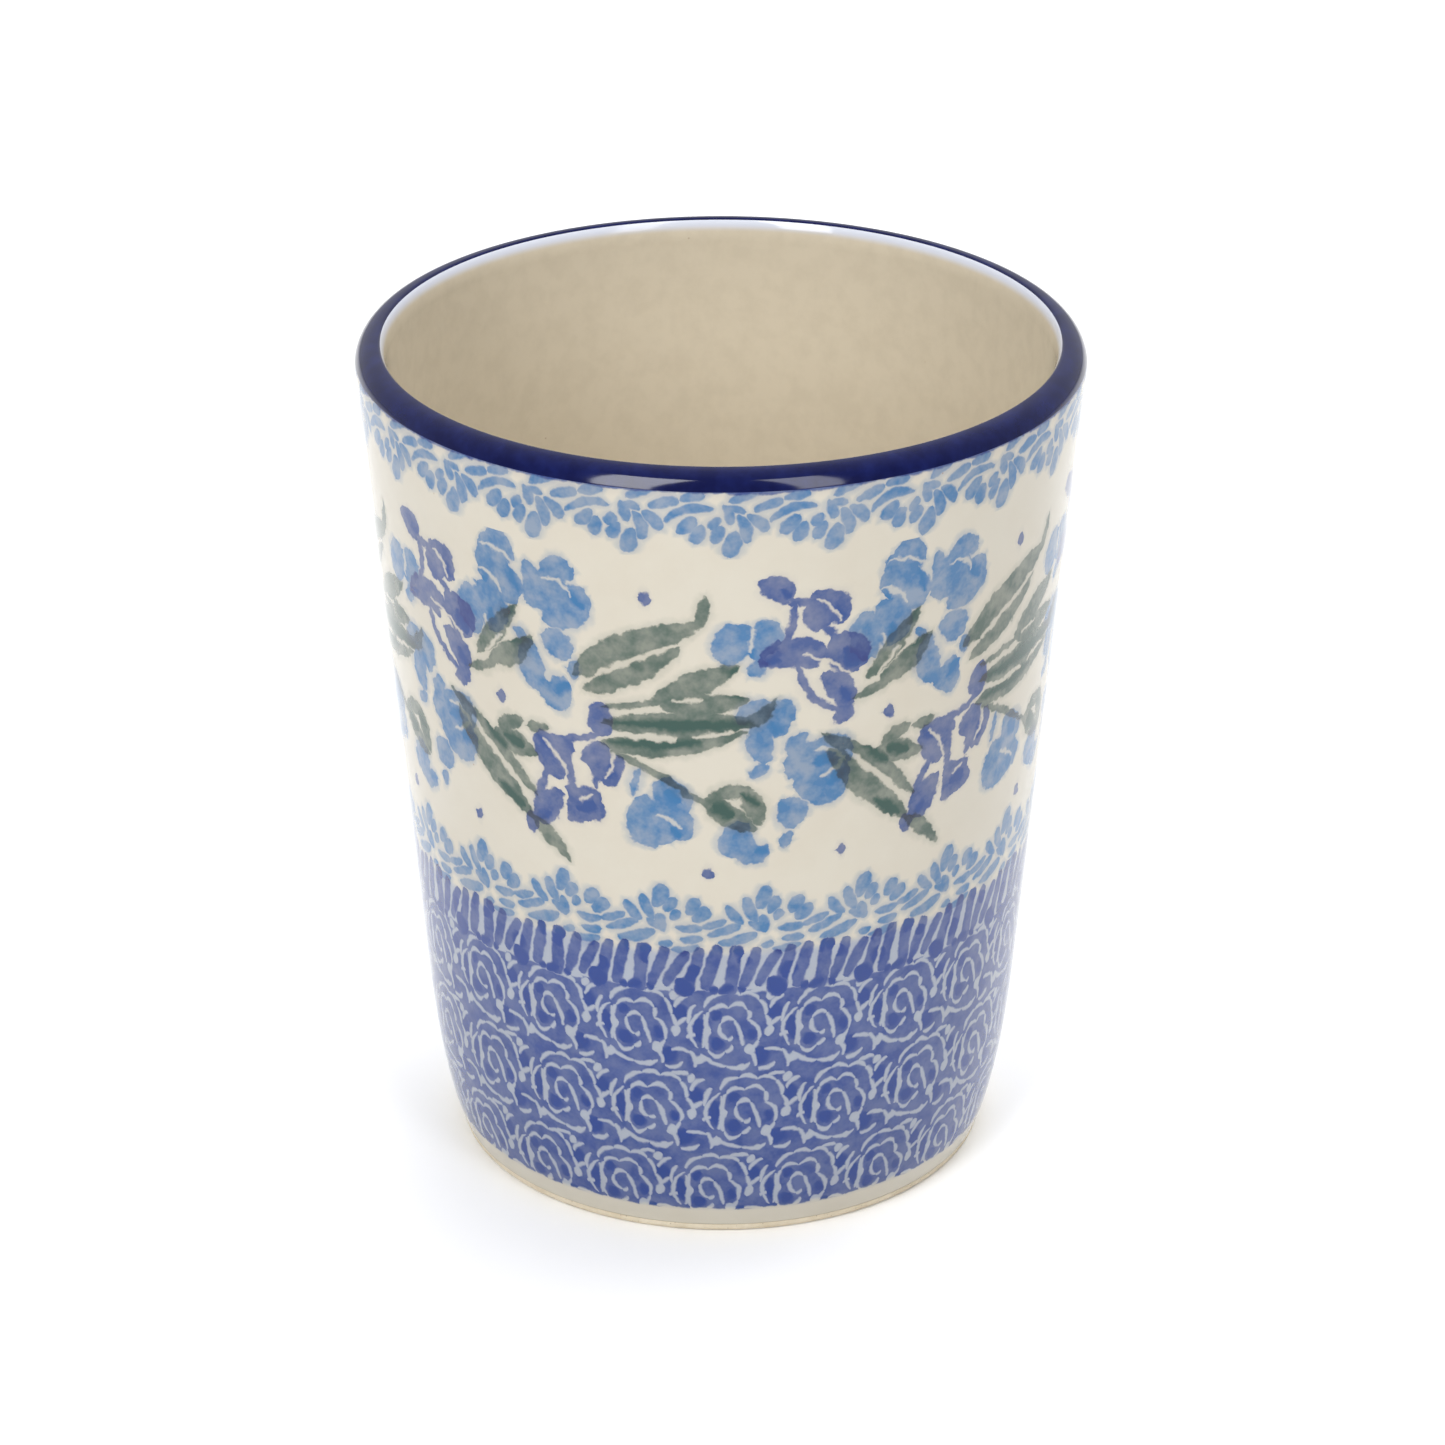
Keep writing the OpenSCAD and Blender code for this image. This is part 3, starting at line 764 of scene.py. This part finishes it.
def clayMaterial():
    # bisque stoneware, sponged smooth: dry and chalky, with fine grog and iron specks
    material = bpy.data.materials.new("bareStoneware")
    material.use_nodes = True
    tree = material.node_tree
    tree.nodes.clear()
    place = wire(tree, "TexCoord").outputs["Object"]
    wall = wire(tree, "VectorMath", place, (1000, 1000, 1000), operation="MULTIPLY")
    cloud = wire(tree, "TexNoise", named={"Vector": wall, "Scale": clay["cloudScale"], "Detail": 6,
                                          "Roughness": 0.7})
    cloud = wire(tree, "MapRange", cloud, 0.35, 0.7, 0, 1)
    colour = wire(tree, "Mix", cloud, linear(clay["colour"]), linear(clay["cloud"]), data_type="RGBA")
    grog = wire(tree, "TexVoronoi", named={"Vector": wall, "Scale": clay["grogScale"]})
    dark = wire(tree, "MapRange", grog.outputs["Distance"], 0.16, 0.05, 0, 0.6)
    colour = wire(tree, "Mix", dark, colour, linear(clay["grog"]), data_type="RGBA")
    grain = wire(tree, "TexNoise", named={"Vector": wall, "Scale": clay["grainScale"], "Detail": 4,
                                          "Roughness": 0.7})
    bump = wire(tree, "Bump", named={"Strength": 0.6, "Distance": clay["grainHeight"], "Height": grain})
    surface = wire(tree, "BsdfPrincipled", named={
        "Base Color": colour.outputs[2], "Roughness": clay["roughness"], "IOR": 1.45, "Normal": bump})
    wire(tree, "OutputMaterial", surface)
    return material


def finish(piece, material, node):
    piece.data.materials.append(material)
    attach(piece, "root")
    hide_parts(node)


print("stamps ready")

creamGlaze = glazedMaterial("creamGlaze", plainGlaze)
# the inside's glaze, whose colour carries painted bounce light
insideCoat = glazedMaterial("insideGlaze", insideWallPaintedLight)
finish(throwShape("stonewareBody", bodyOutline()), clayMaterial(), "stoneware_body")
finish(throwShape("rimBand", rimOutline), glazedMaterial("cobaltRim", rimCobalt), "rim_band")
finish(unroll(throwShape("upperGarland", coatOutline(upperLow.z, upperHigh.z)), 6),
       glazedMaterial("upperGarlandGlaze", upperGarland), "upper_garland_band")
finish(unroll(throwShape("irisFrieze", coatOutline(irisLow.z, irisHigh.z)), 3),
       glazedMaterial("irisGlaze", irisFrieze, frieze["fray"]), "iris_band")
finish(unroll(throwShape("lowerGarland", coatOutline(lowerLow.z, lowerHigh.z)), 6),
       glazedMaterial("lowerGarlandGlaze", lowerWall), "lower_garland_band")
finish(unroll(throwShape("strokeRow", coatOutline(stripeLow.z, stripeHigh.z)), 6),
       glazedMaterial("strokeGlaze", lowerWall), "stripe_band")
finish(unroll(throwShape("roseField", coatOutline(roseLow.z, roseHigh.z)), 3),
       glazedMaterial("roseGlaze", lowerWall), "rose_band")
finish(throwShape("plainStrip", plainOutline()), creamGlaze, "plain_band")
finish(throwShape("insideGlaze", insideOutline), insideCoat, "interior_glaze")
finish(throwShape("undersideGlaze", underOutline), creamGlaze, "underside_glaze")
print("mug made")


# ---- stage: white sweep, dark room behind the camera, two softboxes beside it, a soft light over the mug
stage = {
    "distance": 593.6 * mm,     # camera to the middle of the mug
    "elevation": 25.458,
    "lens": 131.04,
    "shift": (0.001, 0.0055),
    "floor": "#fafafa",
    "floorGlow": 0.05,          # the table is lit from below as well, so that the shadow stays faint
    "dark": 0.08,               # the room behind the camera
    "sky": 0.5,                 # the white room behind the mug
    "fade": (-0.4, 0.75),       # from the one to the other, as a share of the way back
}

bpy.ops.object.select_all(action="DESELECT")
bpy.ops.mesh.primitive_plane_add(size=8, location=(0, 0, 0))
floor = bpy.context.object
floor.name = "floor"
paper = bpy.data.materials.new("whitePaper")
paper.use_nodes = True
paper.node_tree.nodes.clear()
wire(paper.node_tree, "OutputMaterial", wire(paper.node_tree, "BsdfPrincipled", named={
    "Base Color": linear(stage["floor"]), "Roughness": 0.9, "Emission Color": (1, 1, 1, 1),
    "Emission Strength": stage["floorGlow"]}))
floor.data.materials.append(paper)

target = (0, 0, height / 2)
tilt = math.radians(stage["elevation"])
bpy.ops.object.camera_add(
    location=(0, -stage["distance"] * math.cos(tilt), target[2] + stage["distance"] * math.sin(tilt)),
    rotation=(math.pi / 2 - tilt, 0, 0))
camera = bpy.context.object
camera.data.lens = stage["lens"]
camera.data.shift_x, camera.data.shift_y = stage["shift"]
camera.data.clip_start = 0.01
bpy.context.scene.camera = camera


def softbox(name, azimuth, elevation, distance, size, power, aim=target):
    # azimuth 0 is the front, positive to the right
    a, e = math.radians(azimuth), math.radians(elevation)
    away = (math.sin(a) * math.cos(e), -math.cos(a) * math.cos(e), math.sin(e))
    spot = [aim[i] + away[i] * distance for i in range(3)]
    bpy.ops.object.light_add(type="AREA", location=spot, rotation=(math.pi / 2 - e, 0, a))
    light = bpy.context.object
    light.name = name
    light.data.shape = "RECTANGLE"
    light.data.size, light.data.size_y = size
    light.data.energy = power
    return light


softbox("leftBox", -30, 38, 1.6, (0.53, 1.49), 17)
softbox("rightBox", 30, 38, 1.6, (0.4, 1.49), 7.5)
overhead = softbox("overheadBox", 150, 73, 1.5, (1.5, 1.5), 25)
overhead.visible_glossy = False

world = bpy.data.worlds.new("room")
bpy.context.scene.world = world
world.use_nodes = True
world.node_tree.nodes.clear()
direction = wire(world.node_tree, "TexCoord").outputs["Generated"]
facing = wire(world.node_tree, "SeparateXYZ", direction).outputs[1]
light = wire(world.node_tree, "MapRange", facing, *stage["fade"], stage["dark"], stage["sky"])
wire(world.node_tree, "OutputWorld", wire(world.node_tree, "Background", (1, 1, 1, 1), light))
bpy.context.scene.view_settings.view_transform = "Standard"
print("stage ready")
